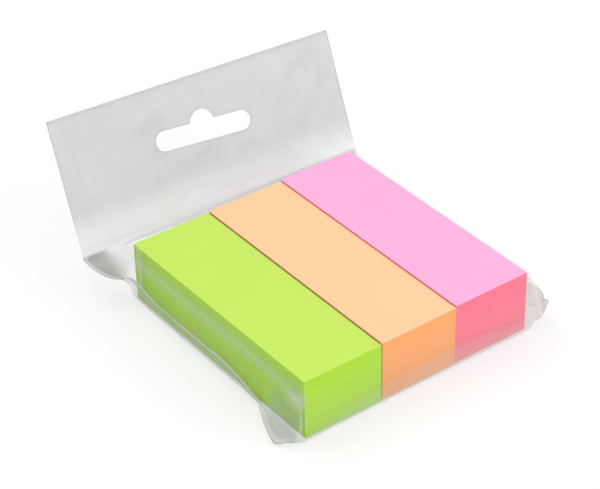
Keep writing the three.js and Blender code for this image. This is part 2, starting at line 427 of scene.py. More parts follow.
def paper_material(name, face, edge):
    """Matt dyed paper: a paler face, and stacked edges with a line for each few sheets."""
    material, tree, shader, place = new_material(name)
    normal = add_node(tree, "ShaderNodeNewGeometry", (-1200, -300))
    split = add_node(tree, "ShaderNodeSeparateXYZ", (-1000, -300))
    link(tree, normal.outputs["Normal"], split.inputs["Vector"])
    slope = math_of(tree, "ABSOLUTE", split.outputs["Z"], 0.0, (-820, -300))
    is_face = math_of(tree, "GREATER_THAN", slope, FACE_SLOPE, (-640, -300))

    lines = noise_of(tree, stretched(tree, place, LINE_SCALES, (-1000, 300)), 1.0, 3.0, (-800, 300))
    bands = noise_of(tree, stretched(tree, place, BAND_SCALES, (-1000, 520)), 1.0, 2.0, (-800, 520))
    edge_tone = math_of(
        tree, "MULTIPLY", remap(tree, lines, LINE_TONES, (-600, 300)),
        remap(tree, bands, BAND_TONES, (-600, 520)), (-420, 400))
    edge_colour = mix_colours(tree, 1.0, (*edge, 1.0), edge_tone, (-240, 320), "MULTIPLY")

    fibres = noise_of(tree, place, FIBRE_SCALE, 4.0, (-800, -80))
    blotches = noise_of(tree, place, BLOTCH_SCALE, 2.0, (-800, 100))
    face_tone = math_of(
        tree, "MULTIPLY", remap(tree, fibres, FIBRE_TONES, (-600, -80)),
        remap(tree, blotches, BLOTCH_TONES, (-600, 100)), (-420, 60))
    face_colour = mix_colours(tree, 1.0, (*face, 1.0), face_tone, (-240, 60), "MULTIPLY")
    colour = mix_colours(tree, is_face, edge_colour, face_colour, (-60, 180))
    link(tree, colour, shader.inputs["Base Color"])
    set_inputs(shader, Roughness=PAPER_ROUGHNESS, Specular_IOR_Level=PAPER_SPECULAR)
    grain = math_of(tree, "ADD", fibres, lines, (-420, -160))
    bump(tree, grain, GRAIN_STRENGTH, GRAIN_DEPTH, shader, (-240, -220))
    return material


def film_material(settings):
    """Clear glossy film, milky where it is creased, doubled or welded. Its cover and its pale and
    grey tints also paint light: a highlight on the corners' root line, glints on the welds, shade
    beside the neck and the floor's reflection low on the film.
    """
    material, tree, shader, place = new_material("clear_film")
    haze = add_node(tree, "ShaderNodeAttribute", (-800, -260), attribute_name="haze")
    milk = add_node(tree, "ShaderNodeAttribute", (-800, 460), attribute_name="milk")
    clouds = noise_of(tree, place, CLOUD_SCALE, 4.0, (-800, 0))
    streaked = stretched(tree, place, STREAK_SCALES, (-1000, 220))
    streaks = noise_of(tree, streaked, 1.0, 3.0, (-800, 220))
    # The grey tint also paints shade on the shoulders beside the neck; the pale one also paints the
    # highlight on the corners' root line, the glint on the welds and the floor's reflection low down.
    tint = mix_colours(
        tree, milk.outputs["Fac"], (*settings.film_tint, 1.0), (*settings.milk_and_sheen_tint, 1.0), (-600, 460))
    cloud_tone = remap(tree, clouds, CLOUD_TONES, (-600, 620))
    tone = mix_colours(tree, 1.0, tint, cloud_tone, (-420, 460), "MULTIPLY")
    link(tree, tone, shader.inputs["Base Color"])
    cloud_haze = remap(tree, clouds, CLOUD_HAZES, (-600, 0))
    streak_haze = remap(tree, streaks, STREAK_HAZES, (-600, 220))
    cloudy = math_of(tree, "MULTIPLY", haze.outputs["Fac"], cloud_haze, (-420, -120))
    alpha = math_of(tree, "MULTIPLY", cloudy, streak_haze, (-240, -120))
    link(tree, alpha, shader.inputs["Alpha"])
    set_inputs(shader, Roughness=FILM_ROUGHNESS, IOR=FILM_IOR)
    bumps = noise_of(tree, place, BUMP_SCALE, 3.0, (-800, -480))
    bump(tree, bumps, BUMP_STRENGTH, BUMP_DEPTH, shader, (-240, -420))
    material.surface_render_method = "BLENDED"
    return material


def sheet_stack_tree():
    """Stacks sheets on a leaning line, each a little out of place, with named inputs."""
    tree = bpy.data.node_groups.new("sheet_stack", "GeometryNodeTree")
    sockets = {}
    for name, kind in (
            ("Width", "Float"), ("Length", "Float"), ("Sheet Pitch", "Float"), ("Sheet Count", "Int"),
            ("Lean", "Float"), ("Scatter", "Float"), ("Seed", "Int"), ("Paper", "Material")):
        socket = tree.interface.new_socket(name=name, in_out="INPUT", socket_type="NodeSocket" + kind)
        sockets[name] = socket.identifier
    tree.interface.new_socket(name="Geometry", in_out="OUTPUT", socket_type="NodeSocketGeometry")
    given = add_node(tree, "NodeGroupInput", (-1200, 0)).outputs
    result = add_node(tree, "NodeGroupOutput", (900, 0))
    pitch = given["Sheet Pitch"]

    thickness = math_of(tree, "MULTIPLY", pitch, SHEET_SHARE, (-1000, 260))
    size = combined(tree, (-820, 260), X=given["Width"], Y=given["Length"], Z=thickness)
    sheet = add_node(tree, "GeometryNodeMeshCube", (-620, 260))
    link(tree, size, sheet.inputs["Size"])

    start = combined(tree, (-820, 60), Z=math_of(tree, "MULTIPLY", pitch, 0.5, (-1000, 60)))
    lean = math_of(tree, "DIVIDE", given["Lean"], given["Sheet Count"], (-1000, -120))
    step = combined(tree, (-820, -120), X=lean, Z=pitch)
    line = add_node(tree, "GeometryNodeMeshLine", (-620, 0), mode="OFFSET")
    link(tree, given["Sheet Count"], line.inputs["Count"])
    link(tree, start, line.inputs["Start Location"])
    link(tree, step, line.inputs["Offset"])

    stack = add_node(tree, "GeometryNodeInstanceOnPoints", (-400, 100))
    link(tree, line.outputs["Mesh"], stack.inputs["Points"])
    link(tree, sheet.outputs["Mesh"], stack.inputs["Instance"])

    own = add_node(tree, "FunctionNodeRandomValue", (-400, -200), data_type="FLOAT_VECTOR")
    own.inputs[0].default_value = (-1.0, -1.0, 0.0)
    own.inputs[1].default_value = (1.0, 1.0, 0.0)
    link(tree, given["Seed"], own.inputs["Seed"])
    index = add_node(tree, "GeometryNodeInputIndex", (-1000, -420))
    along = math_of(tree, "MULTIPLY", index.outputs["Index"], DRIFT_STEP, (-820, -420))
    place = combined(tree, (-600, -420), X=along, Y=given["Seed"])
    drift = add_node(tree, "ShaderNodeTexNoise", (-400, -420))
    set_inputs(drift, Scale=1.0, Detail=2.0)
    link(tree, place, drift.inputs["Vector"])
    centred = vector_of(tree, "SUBTRACT", drift.outputs["Color"], (0.5, 0.5, 0.5), (-200, -420))
    wander = vector_of(tree, "MULTIPLY", centred, (DRIFT_REACH, DRIFT_REACH, 0.0), (0, -420))
    both = vector_of(tree, "ADD", own.outputs["Value"], wander, (200, -300))
    offset = vector_of(tree, "SCALE", both, given["Scatter"], (380, -300))
    moved = add_node(tree, "GeometryNodeTranslateInstances", (380, 60))
    link(tree, stack.outputs["Instances"], moved.inputs["Instances"])
    link(tree, offset, moved.inputs["Translation"])

    solid = add_node(tree, "GeometryNodeRealizeInstances", (560, 60))
    link(tree, moved.outputs["Instances"], solid.inputs["Geometry"])
    dyed = add_node(tree, "GeometryNodeSetMaterial", (720, 60))
    link(tree, solid.outputs["Geometry"], dyed.inputs["Geometry"])
    link(tree, given["Paper"], dyed.inputs["Material"])
    link(tree, dyed.outputs["Geometry"], result.inputs["Geometry"])
    return tree, sockets


def new_object(name, data):
    """An object of a mesh, lamp or camera, linked to the scene."""
    piece = bpy.data.objects.new(name, data)
    bpy.context.scene.collection.objects.link(piece)
    return piece


def bake_piece(source, name):
    """A plain mesh object of what the source's modifiers make. The source is removed."""
    bpy.context.view_layer.update()
    graph = bpy.context.evaluated_depsgraph_get()
    mesh = bpy.data.meshes.new_from_object(source.evaluated_get(graph), depsgraph=graph)
    mesh.name = name
    bpy.data.objects.remove(source, do_unlink=True)
    return new_object(name, mesh)


def make_pad(node, face, edge, settings, tree, sockets, seed):
    """One pad of loose-edged sheets, standing where the solid pad stands."""
    low, high = (Vector(corner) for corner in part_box(node))
    tallest = max(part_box(other)[1][2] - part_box(other)[0][2] for other in PAD_NODES)
    size = high - low
    lean = PAD_LEAN * MM * size.z / tallest
    slack = SLACK_SCATTERS * settings.scatter
    count = round(size.z / settings.sheet_pitch)
    source = new_object("stack", bpy.data.meshes.new("stack"))
    stack = source.modifiers.new("sheets", "NODES")
    stack.node_group = tree
    values = {
        "Width": size.x - lean - slack + 2 * SPREAD * MM, "Length": size.y - slack,
        "Sheet Pitch": size.z / count, "Sheet Count": count, "Lean": -lean,
        "Scatter": settings.scatter, "Seed": seed,
        "Paper": paper_material(node + "_paper", face, edge),
    }
    for name, value in values.items():
        stack[sockets[name]] = value
    piece = bake_piece(source, node + "_sheets")
    across = low.x + lean + (size.x - lean) / 2 + SLIDES[node] * MM
    foot = Vector((across, (low.y + high.y) / 2, low.z))
    piece.data.transform(Matrix.Translation(foot))
    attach(piece, "root")
    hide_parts(node)


def smoothstep(value, start, end):
    share = np.clip((value - start) / (end - start), 0.0, 1.0)
    return share * share * (3.0 - 2.0 * share)


def lerp(first, second, share):
    return first + (second - first) * share


def ridge(distance, width):
    """1 on a line, falling off on both sides of it."""
    return np.exp(-(distance / width) ** 2)


def header_matrix(back):
    """The header's own frame, at its lower edge behind the pads' back."""
    return (Matrix.Translation((HEADER_SHIFT, back + NECK_LENGTH, HEADER_LINE_HEIGHT))
            @ Matrix.Rotation(-HEADER_LEAN, 4, "X") @ Matrix.Rotation(HEADER_ROLL, 4, "Y"))


class FilmShape:
    """The pouch's two layers as grids of points, in millimetres: rows from the front
    fold to the header's top, columns from one weld's free edge to the other's.

    Each column has a place across the pads from -1 to 1 (x), a share of the way out from
    the pads to the weld (out), a share of the weld's width (weld) and a side, -1 or 1."""

    def __init__(self, film_thickness):
        boxes = [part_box(node) for node in PAD_NODES]
        lows = np.min([box[0] for box in boxes], axis=0) / MM
        highs = np.max([box[1] for box in boxes], axis=0) / MM
        self.base = film_thickness
        self.lip = film_thickness * LIP_SHARE
        self.tallest = highs[2] - lows[2]
        self.pad_bottom = lows[2]
        self.half_width = (highs[0] - lows[0] - PAD_LEAN) / 2 + WRAP
        self.edge = self.half_width - film_thickness
        self.front = lows[1] - WRAP + film_thickness
        self.back = highs[1] + WRAP
        self.top = highs[2] + WRAP - film_thickness
        self.depth = self.back - self.front
        across = np.linspace(-1.0, 1.0, ACROSS_STEPS + 1)
        # Beyond the pads stand three columns a side: the root and the weld's two edges
        self.side = np.concatenate([[-1] * 3, np.where(across < 0, -1, 1), [1] * 3])
        self.x = np.concatenate([[-1] * 3, across, [1] * 3])
        self.out = np.concatenate([[1, 1, ROOT_SHARE], across * 0, [ROOT_SHARE, 1, 1]])
        self.weld = np.concatenate([[1, 0, 0], across * 0, [0, 0, 1]])

    def pick(self, *names):
        """Each named measure of the left or the right corner, for each column."""
        return [np.where(self.side < 0, LEFT_CORNER[name], RIGHT_CORNER[name]) for name in names]

    def lean_at(self, z):
        return -PAD_LEAN * (z - self.pad_bottom) / self.tallest

    def front_row(self):
        """The front fold, with the loose corners' lower edge on both sides of it."""
        reach, tip, sweep, fold, sag = self.pick("reach", "tip", "sweep", "fold", "sag")
        reach = reach - TIP_ROUNDING
        arch = np.sin(math.pi * self.out)
        x = self.side * (self.out * reach + self.weld * TIP_WELD_WIDTH) + self.x * self.edge
        share = (self.x + 1) / 2
        forward = FRONT_BULGE + CORNER_BULGE * (1 - self.out) * ridge(share, CORNER_BULGE_WIDTH)
        y = self.front - forward + (sweep + forward) * self.out ** SWEEP_BOW - TIP_BULGE * arch
        ends = lerp(LEFT_CORNER["fold"], RIGHT_CORNER["fold"], share)
        middle = (LEFT_CORNER["fold"] + RIGHT_CORNER["fold"]) / 2
        crease = ends + (FOLD_HEIGHT - middle) * np.sin(math.pi * share)
        z = np.where(self.out > 0, lerp(fold, tip, self.out) - sag * arch, crease)
        return np.stack([x, y, z], axis=1)

    def seam(self, depth):
        """Each side's weld at a depth behind the front: how far out it runs, its height, how far
        it is swept back, and how high up the pads the film leaves them."""
        reach, tip, sweep, root, run = self.pick("reach", "tip", "sweep", "root", "run")
        along = np.minimum(max(depth, 0.0) / run, 1.0)
        climb = smoothstep(depth, run * CLIMB_START, run * CLIMB_END)
        back_rise = smoothstep(depth, self.depth * BACK_RISE_START, self.depth)
        side = lerp(SIDE_SEAM_HEIGHT, BACK_SEAM_HEIGHT, back_rise)
        out = SIDE_BULGE + (reach * WELDED_REACH - SIDE_BULGE) * (1 - along ** CORNER_TAPER)
        short = max(TIP_ROUNDING - depth, 0.0)
        out = out - TIP_ROUNDING + math.sqrt(TIP_ROUNDING ** 2 - short ** 2)
        root = lerp(root, (side + self.top) / 2, along)
        return out, lerp(tip, side, climb), sweep * (1 - along), root

    def body_row(self, depth, upper):
        out, height, sweep, root = self.seam(depth)
        y = self.front + depth + self.out * sweep
        weld = lerp(TIP_WELD_WIDTH, WELD_WIDTH, smoothstep(depth, 0.0, TIP_ROUNDING))
        beyond = self.side * (self.out * out + self.weld * weld)
        lip = self.lip * (1 - self.weld)
        if not upper:
            x = self.x * self.edge + beyond
            return np.stack([x, y, lerp(self.base, height - lip, self.out)], axis=1)
        at_root = self.out == ROOT_SHARE
        flare = np.where(self.side > 0, smoothstep(depth, self.depth - FLARE_LENGTH, self.depth), 0.0)
        root = np.minimum(lerp(root, self.top - FLARE_DROP, flare), self.top - ROOT_DROP)
        z = np.where(self.out == 0, self.top, np.where(at_root, root, height + lip))
        lean = np.where(self.out == 1, 0.0, self.lean_at(z))
        x = self.x * self.edge + lean + np.where(at_root, FLARE_WIDTH * flare, beyond)
        y = np.where(at_root, self.front + depth, y)
        return np.stack([x, y, z], axis=1)

    def header_row(self, height, upper):
        flap = (POUCH_WIDTH / 2 - WELD_WIDTH - self.half_width) * self.out + self.weld * WELD_WIDTH
        x = self.x * self.half_width + self.side * flap
        lip = self.lip * (1 - self.weld) * (-1 if upper else 1)
        flat = np.stack([x, lip, np.full_like(x, height)], axis=1)
        turn = np.array(header_matrix(self.back))
        return flat @ turn[:3, :3].T + turn[:3, 3]

    def neck_row(self, share, upper):
        start = self.body_row(self.depth, upper)
        end = self.header_row(0.0, upper)
        row = lerp(start, end, share)
        arc = lerp(start[:, 0], end[:, 0], math.sqrt(1 - (1 - share) ** 2))
        row[:, 0] = np.where(self.out == 1, arc, row[:, 0])
        return row

    def refine(self, row):
        """Adds columns on the welds and sides, where the row has only its corners."""
        counts = [WELD_STEPS, SIDE_STEPS, SIDE_STEPS]
        steps = counts + [1] * ACROSS_STEPS + counts[::-1]
        places = [0.0]
        for i, count in enumerate(steps):
            places += [i + (k + 1) / count for k in range(count)]
        known = np.arange(len(row))
        return np.stack([np.interp(places, known, row[:, axis]) for axis in range(row.shape[1])], axis=1)

    def layer(self, upper):
        rows = []
        crease = self.front_row()
        for share in np.linspace(0.0, 1.0, FRONT_ROWS + 1)[:-1]:
            rows.append(lerp(crease, self.body_row(0.0, upper), share))
        for depth in np.linspace(0.0, self.depth, BODY_ROWS + 1):
            rows.append(self.body_row(depth, upper))
        for share in np.linspace(0.0, 1.0, NECK_ROWS + 1)[1:]:
            rows.append(self.neck_row(share, upper))
        for height in np.linspace(0.0, HEADER_HEIGHT, HEADER_ROWS + 1)[1:]:
            rows.append(self.header_row(height, upper))
        return np.array([self.refine(row) for row in rows])

    def columns(self):
        """The shares out and weld of each refined column, and its side."""
        return self.refine(np.stack([self.out, self.weld, self.side.astype(float)], axis=1))


def rounded(grid, passes):
    """Softens the grid's folds. Its border stays."""
    for _ in range(passes):
        inner = grid.copy()
        inner[1:-1, 1:-1] = (
            POINT_WEIGHT * grid[1:-1, 1:-1]
            + NEIGHBOUR_WEIGHT * (grid[:-2, 1:-1] + grid[2:, 1:-1])
            + NEIGHBOUR_WEIGHT * (grid[1:-1, :-2] + grid[1:-1, 2:]))
        grid = inner
    return grid


def relaxed(grid, film):
    """The grid with its folds softened, and softened more on the loose front corners."""
    out = film.columns()[:, 0][None, :]
    depth = grid[:, :, 1] - film.front
    soft = smoothstep(out, *SOFT_SHARES) * (1 - smoothstep(depth, *SOFT_DEPTHS))
    light = rounded(grid, ROUNDING_PASSES)
    return lerp(light, rounded(light, EAR_PASSES), soft[:, :, None])


def unit(vectors):
    return vectors / np.maximum(np.linalg.norm(vectors, axis=2, keepdims=True), 1e-9)


def grid_normals(grid, upper):
    """The smoothed outward direction at each of the grid's points."""
    along = np.gradient(grid, axis=0)
    across = np.gradient(grid, axis=1)
    normals = unit(rounded(unit(np.cross(across, along)), NORMAL_PASSES))
    return normals if upper else -normals


def noise_field(grid, scale, seed):
    """Soft noise about 0 at each of the grid's points."""
    flat = grid.reshape(-1, 3) * scale
    values = [noise.noise(Vector((p[0] + seed, p[1], p[2]))) for p in flat]
    return np.array(values).reshape(grid.shape[:2])


def row_zones(shape):
    """For each row: share of the front, of the neck and of the header that it has passed."""
    front = np.clip(np.arange(shape[0]) / FRONT_ROWS, 0, 1)
    neck_start = FRONT_ROWS + BODY_ROWS
    neck = np.clip((np.arange(shape[0]) - neck_start) / NECK_ROWS, 0, 1)
    header = np.clip((np.arange(shape[0]) - neck_start - NECK_ROWS) / HEADER_ROWS, 0, 1)
    return front[:, None], neck[:, None], header[:, None]


def dents(grid, film, upper, crinkle):
    """How far the film stands out of its smooth shape, in millimetres."""
    out, _, side = (column[None, :] for column in film.columns().T)
    front, neck, header = row_zones(grid.shape)
    depth = grid[:, :, 1] - film.front
    on_side = (out > 0) & (neck == 0)
    broad = noise_field(grid, 1 / BROAD_DENT, BROAD_SEED)
    fine = noise_field(grid, 1 / FINE_DENT, FINE_SEED)

    stiffness = WELD_STIFFNESS * smoothstep(out, WELD_STIFF_FROM, 1.0)
    loose = np.where(on_side, 1.0 - stiffness, SNUG_DENTS) + np.where(front < 1, FRONT_DENTS, 0.0)
    block = crinkle * loose * (BODY_DENTS[0] * np.abs(broad) + BODY_DENTS[1] * np.abs(fine))
    folds = np.sin(out * PLEAT_WAVE + depth * PLEAT_SLANT) ** 2 * (1 - depth / PLEAT_DEPTH)
    pleats = np.where(on_side & (depth < PLEAT_DEPTH), PLEATS * crinkle * folds, 0)
    arch = np.sin(math.pi * np.clip(2 * out - 1, 0, 1))
    puff = PUFF * arch * front * (1 - smoothstep(depth, *PUFF_DEPTHS))
    puffed = np.where(on_side & upper, puff, 0)
    crease = CREASE_RISE * crinkle * ridge(depth - film.depth + CREASE_FROM_BACK, CREASE_WIDTH)
    creased = np.where(on_side & (side < 0) & upper, crease, 0)

    gather = np.sin(grid[:, :, 0] * GATHER_WAVE + GATHER_DRIFT * broad) * np.sin(math.pi * neck)
    necked = GATHERS * crinkle * gather * (neck > 0)
    waves = crinkle * (HEADER_DENTS[0] * broad + HEADER_DENTS[1] * fine)
    flat = waves * smoothstep(header, 0.0, HEADER_DENT_START)
    body = block + pleats + puffed + creased
    return np.where(header > 0, flat, np.where(neck > 0, necked, body))


def haze_and_painted_light_of(grid, film, upper):
    """How milky the film is at each point, and how pale its milky tint is, both from 0 to 1.
    Both also carry painted light: a highlight on the corners' root line, a glint on the welds,
    shade on the shoulders beside the neck and the white floor's reflection on the lower film.
    """
    out, weld, side = (column[None, :] for column in film.columns().T)
    front, neck, header = row_zones(grid.shape)
    depth = grid[:, :, 1] - film.front
    z = grid[:, :, 2]
    on_side = (out > 0) & (neck == 0)
    corner = smoothstep(out, *HAZY_CORNER_SHARES) * (1 - smoothstep(depth, *HAZY_CORNER_DEPTHS))
    # A painted highlight along the loose corners' root line, where the film leaves the pads, fading
    # towards the back.
    at_root = ridge(out - ROOT_SHARE, ROOT_HIGHLIGHT_WIDTH)
    root_highlight = at_root * (1 - smoothstep(depth, *ROOT_HIGHLIGHT_DEPTHS))
    # The shoulders beside the neck: more haze and a greyer tint, partly the film's own haze where it
    # doubles, partly painted shade.
    gusset_haze_and_shade = smoothstep(np.abs(grid[:, :, 0]), *(film.half_width + reach for reach in GUSSET_REACH))
    foot = 1 - smoothstep(header * HEADER_HEIGHT, *HEADER_FOOT_HEIGHTS)

    haze = np.full(grid.shape[:2], HAZE_AND_PAINTED_LIGHT["top"] if upper else HAZE_AND_PAINTED_LIGHT["bottom"])
    # Thicker haze low on the film, on the lower layer and towards the foot of the front: partly the
    # film's own haze, partly a painted reflection of the white floor.
    if upper:
        on_face = sum((level * ridge(z - share * film.top, width)
                       for share, width, level in SIDE_BANDS), HAZE_AND_PAINTED_LIGHT["side"])
        on_front = HAZE_AND_PAINTED_LIGHT["front"] + HAZE_AND_PAINTED_LIGHT["front foot"] * (1 - z / film.top)
    else:
        on_face = HAZE_AND_PAINTED_LIGHT["lower side"]
        on_front = HAZE_AND_PAINTED_LIGHT["lower front"] + HAZE_AND_PAINTED_LIGHT["lower front top"] * front
    haze = np.where(on_side, np.maximum(on_face, HAZE_AND_PAINTED_LIGHT["corner"] * corner), haze)
    haze = np.where((front < 1) & (out == 0), on_front, haze)
    if upper:
        crease = ridge(depth - film.depth + CREASE_FROM_BACK, CREASE_HAZE_WIDTH)
        # A painted highlight on the corners' root line, and more haze on the left side's back crease.
        haze = np.where(on_side, haze + HAZE_AND_PAINTED_LIGHT["corner root highlight"] * root_highlight, haze)
        haze = np.where(on_side & (side < 0), haze + HAZE_AND_PAINTED_LIGHT["back crease"] * crease, haze)
    fold = ridge(neck - 1.0, NECK_FOLD_WIDTH) * (header == 0)
    # Painted shade on the shoulders beside the neck, over the film's own haze.
    on_neck = HAZE_AND_PAINTED_LIGHT["neck"] + HAZE_AND_PAINTED_LIGHT["gusset_haze_and_shade"] * gusset_haze_and_shade + HAZE_AND_PAINTED_LIGHT["neck fold"] * fold
    haze = np.where(neck > 0, on_neck, haze)
    seal = ridge(header * HEADER_HEIGHT - SEAL_HEIGHT, SEAL_WIDTH)
    on_header = HAZE_AND_PAINTED_LIGHT["header"] + HAZE_AND_PAINTED_LIGHT["header foot"] * foot + HAZE_AND_PAINTED_LIGHT["seal"] * seal
    haze = np.where(header > 0, on_header, haze)
    # More haze on the welds, which are hazier; their pale tint, and the extra haze on the left weld near
    # the back, are a painted glint.
    rear_left_glint = (depth > REAR_GLINT_DEPTH) * (side < 0)
    on_weld = np.where(header > 0, 0.0, HAZE_AND_PAINTED_LIGHT["weld"] + HAZE_AND_PAINTED_LIGHT["rear left weld glint"] * rear_left_glint)
    haze = np.where(weld > 0, haze + on_weld, haze)

    # Pale on the body, partly as the floor's painted reflection low down; greyer on the loose corners,
    # but pale on their painted root highlight; greyer on the shoulders by the neck as painted shade;
    # pale on the welds as a painted glint.
    on_body = 1 + MILK_AND_PAINTED_LIGHT["corner"] * corner * (1 - root_highlight)
    on_neck = MILK_AND_PAINTED_LIGHT["neck"] * (1 - gusset_haze_and_shade)
    milk = np.where(header > 0, MILK_AND_PAINTED_LIGHT["header foot"] * foot, np.where(neck > 0, on_neck, on_body))
    milk = np.where((weld > 0) & (header == 0), np.maximum(milk, MILK_AND_PAINTED_LIGHT["weld"]), milk)
    return np.clip(haze, 0, 1), milk


def slot_outline(film):
    """The hanging slot's edge, two wings and a raised middle, as columns and rows of the grid."""
    end = SLOT_HEIGHT / 2
    straight = SLOT_WIDTH / 2 - end
    centre = end + HUMP_RISE - HUMP_RADIUS
    foot = math.asin((end - centre) / HUMP_RADIUS)

    def arc(x, z, radius, start, stop, steps):
        turns = (start + (stop - start) * k / steps for k in range(steps + 1))
        return [(x + radius * math.cos(t), z + radius * math.sin(t)) for t in turns]

    outline = arc(straight, 0, end, -math.pi / 2, math.pi / 2, WING_STEPS)
    outline += arc(0, centre, HUMP_RADIUS, foot, math.pi - foot, HUMP_STEPS)
    outline += arc(-straight, 0, end, math.pi / 2, 3 * math.pi / 2, WING_STEPS)
    cos, sin = math.cos(SLOT_TILT), math.sin(SLOT_TILT)
    first_column = WELD_STEPS + 2 * SIDE_STEPS
    first_row = FRONT_ROWS + BODY_ROWS + NECK_ROWS
    places = []
    for x, z in outline:
        across = x * cos + z * sin + SLOT_OFFSET
        height = z * cos - x * sin + SLOT_CENTRE_HEIGHT
        places.append((first_column + (across / film.half_width + 1) / 2 * ACROSS_STEPS,
                       first_row + height / HEADER_HEIGHT * HEADER_ROWS))
    return places


def inside(place, outline):
    """Whether a place lies inside a closed outline."""
    x, y = place
    odd = False
    for (x0, y0), (x1, y1) in zip(outline, outline[1:] + outline[:1]):
        if (y0 > y) != (y1 > y) and x < x0 + (y - y0) / (y1 - y0) * (x1 - x0):
            odd = not odd
    return odd


def slotted_patch(outline):
    """Cuts the slot out of a block of grid cells. Returns the block, its places and triangles."""
    columns = [place[0] for place in outline]
    rows = [place[1] for place in outline]
    left, right = math.floor(min(columns)) - 1, math.ceil(max(columns)) + 1
    low, high = math.floor(min(rows)) - 1, math.ceil(max(rows)) + 1
    kept = [(j, i) for i in range(low, high + 1) for j in range(left, right + 1)
            if not inside((j, i), outline)
            and min((j - x) ** 2 + (i - y) ** 2 for x, y in outline) > EDGE_CLEARANCE]
    first = len(kept)
    edges = [(first + k, first + (k + 1) % len(outline)) for k in range(len(outline))]
    corners = [Vector(place) for place in kept + outline]
    places, _, found, *_ = delaunay_2d_cdt(corners, edges, [], 0, CUT_TOLERANCE)
    places = [tuple(place) for place in places]
    triangles = []
    for face in found:
        middle = np.mean([places[k] for k in face], axis=0)
        if not inside(tuple(middle), outline):
            triangles.append(list(face))
    return (left, right, low, high), places, triangles


def on_grid(grid, place):
    """The grid's value at a place between its rows and columns."""
    j, i = min(int(place[0]), grid.shape[1] - 2), min(int(place[1]), grid.shape[0] - 2)
    across, along = place[0] - j, place[1] - i
    return lerp(lerp(grid[i, j], grid[i, j + 1], across),
                lerp(grid[i + 1, j], grid[i + 1, j + 1], across), along)


def shaped_layer(film, upper, settings):
    """One layer's dented grid of points, and how milky and how pale the film is at each, where
    both also carry painted light.
    """
    grid = relaxed(film.layer(upper), film)
    haze, milk = haze_and_painted_light_of(grid, film, upper)
    rows, columns = haze.shape
    from_edge = np.minimum(np.arange(columns), np.arange(columns)[::-1])
    border = np.minimum(from_edge / EDGE_TAPER, 1.0)[None, :] * np.ones((rows, 1))
    border[0] = 0
    shift = dents(grid, film, upper, settings.crinkle / MM) * border
    grid = grid + grid_normals(grid, upper) * shift[:, :, None]
    grid[:, :, 2] = np.maximum(grid[:, :, 2], film.base)
    return grid, haze * settings.haze_and_painted_light_scale, milk


def film_mesh(settings):
    """Both layers as one mesh, joined along the front fold and the welds, with the slot cut out."""
    film = FilmShape(settings.film_thickness / MM)
    (left, right, low, high), places, triangles = slotted_patch(slot_outline(film))
    mouth = [FRONT_ROWS + BODY_ROWS + round(share * NECK_ROWS) for share in MOUTH_SHARES]
    points, haze_and_painted_light_values, milk_and_painted_light_values, faces, index = [], [], [], [], {}

    def add_point(place, haze, milk):
        points.append(place * MM)
        haze_and_painted_light_values.append(haze)
        milk_and_painted_light_values.append(milk)
        return len(points) - 1

    def add_face(corners, upper):
        faces.append(corners if upper else corners[::-1])

    def is_open(i, j, x, upper):
        """Whether a grid cell belongs to the slot's patch or to the mouth."""
        slotted = low <= i < high and left <= j < right
        return slotted or (not upper and mouth[0] <= i < mouth[1] and abs(x) < MOUTH_WIDTH / 2)

    for upper in (True, False):
        grid, haze, milk = shaped_layer(film, upper, settings)
        rows, columns = haze.shape
        for i in range(rows):
            for j in range(columns):
                if not upper and (i == 0 or j in (0, columns - 1)):
                    index[False, i, j] = index[True, i, j]
                elif not (low < i < high and left < j < right):
                    index[upper, i, j] = add_point(grid[i, j], haze[i, j], milk[i, j])
        for i in range(rows - 1):
            for j in range(columns - 1):
                if not is_open(i, j, grid[i, j, 0], upper):
                    cell = ((i, j), (i, j + 1), (i + 1, j + 1), (i + 1, j))
                    add_face([index[upper, *corner] for corner in cell], upper)
        local = []
        for j, i in places:
            known = (upper, round(i), round(j))
            on_point = abs(i - round(i)) + abs(j - round(j)) < SAME_PLACE
            if on_point and known in index:
                local.append(index[known])
            else:
                local.append(add_point(*(on_grid(field, (j, i)) for field in (grid, haze, milk))))
        for triangle in triangles:
            add_face([local[k] for k in triangle], upper)
    mesh = bpy.data.meshes.new("pouch_film")
    mesh.from_pydata(points, [], faces)
    mesh.attributes.new("haze", "FLOAT", "POINT").data.foreach_set("value", haze_and_painted_light_values)
    mesh.attributes.new("milk", "FLOAT", "POINT").data.foreach_set("value", milk_and_painted_light_values)
    mesh.polygons.foreach_set("use_smooth", [True] * len(mesh.polygons))
    mesh.update()
    return mesh


def area_lamp(name, power, place, aim, size):
    light = bpy.data.lights.new(name, "AREA")
    light.shape = "RECTANGLE"
    light.size, light.size_y = size
    light.energy = power
    lamp = new_object(name, light)
    lamp.location = place
    lamp.rotation_euler = (Vector(aim) - Vector(place)).to_track_quat("-Z", "Y").to_euler()


def seen_directly(tree, place):
    """1 for what the camera, a mirror or glass looks at, 0 for light on its way."""
    path = add_node(tree, "ShaderNodeLightPath", place)
    mirrored = math_of(
        tree, "MAXIMUM", path.outputs["Is Camera Ray"], path.outputs["Is Glossy Ray"],
        (place[0] + 200, place[1]))
    return math_of(
        tree, "MAXIMUM", mirrored, path.outputs["Is Transmission Ray"], (place[0] + 400, place[1]))


def diffuse(tree, colour, place):
    node = add_node(tree, "ShaderNodeBsdfDiffuse", place)
    node.inputs["Color"].default_value = (*colour, 1.0)
    return node.outputs["BSDF"]


